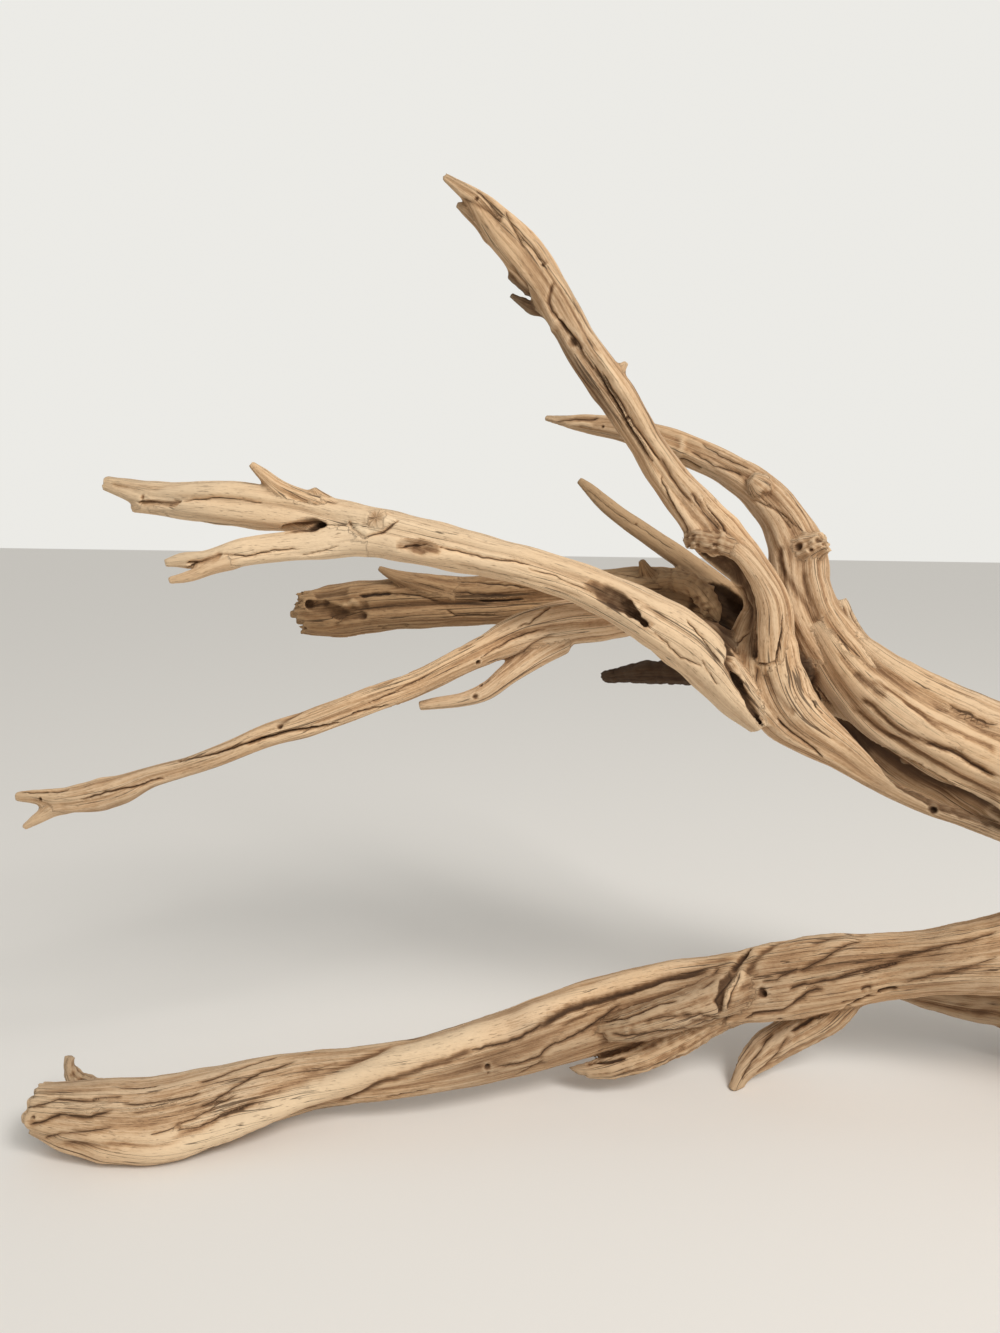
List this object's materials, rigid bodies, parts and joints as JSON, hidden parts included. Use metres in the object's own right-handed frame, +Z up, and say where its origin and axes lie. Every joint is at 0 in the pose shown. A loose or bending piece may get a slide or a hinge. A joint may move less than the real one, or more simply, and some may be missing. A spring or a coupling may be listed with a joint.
{
  "type": "driftwood branch",
  "caption": "Bare weathered driftwood branch: one long limb lies along the surface while forked limbs rise from a shared butt.",
  "frame": {"origin": "on the surface the branch stands on, under the middle of its bounding box", "axes": "+X along the branch towards its butt, -Y towards the side that is looked at, +Z up"},
  "size_m": [0.6331, 0.2102, 0.4367],
  "materials": {
    "driftwood": "matt",
    "driftwood_dark": "matt"
  },
  "bodies": {
    "root": {"trunk": "driftwood", "table_limb": "driftwood", "upright_limb": "driftwood", "rear_limb": "driftwood", "reaching_limb": "driftwood", "blunt_limb": "driftwood_dark", "trailing_limb": "driftwood"}
  },
  "joints": []
}
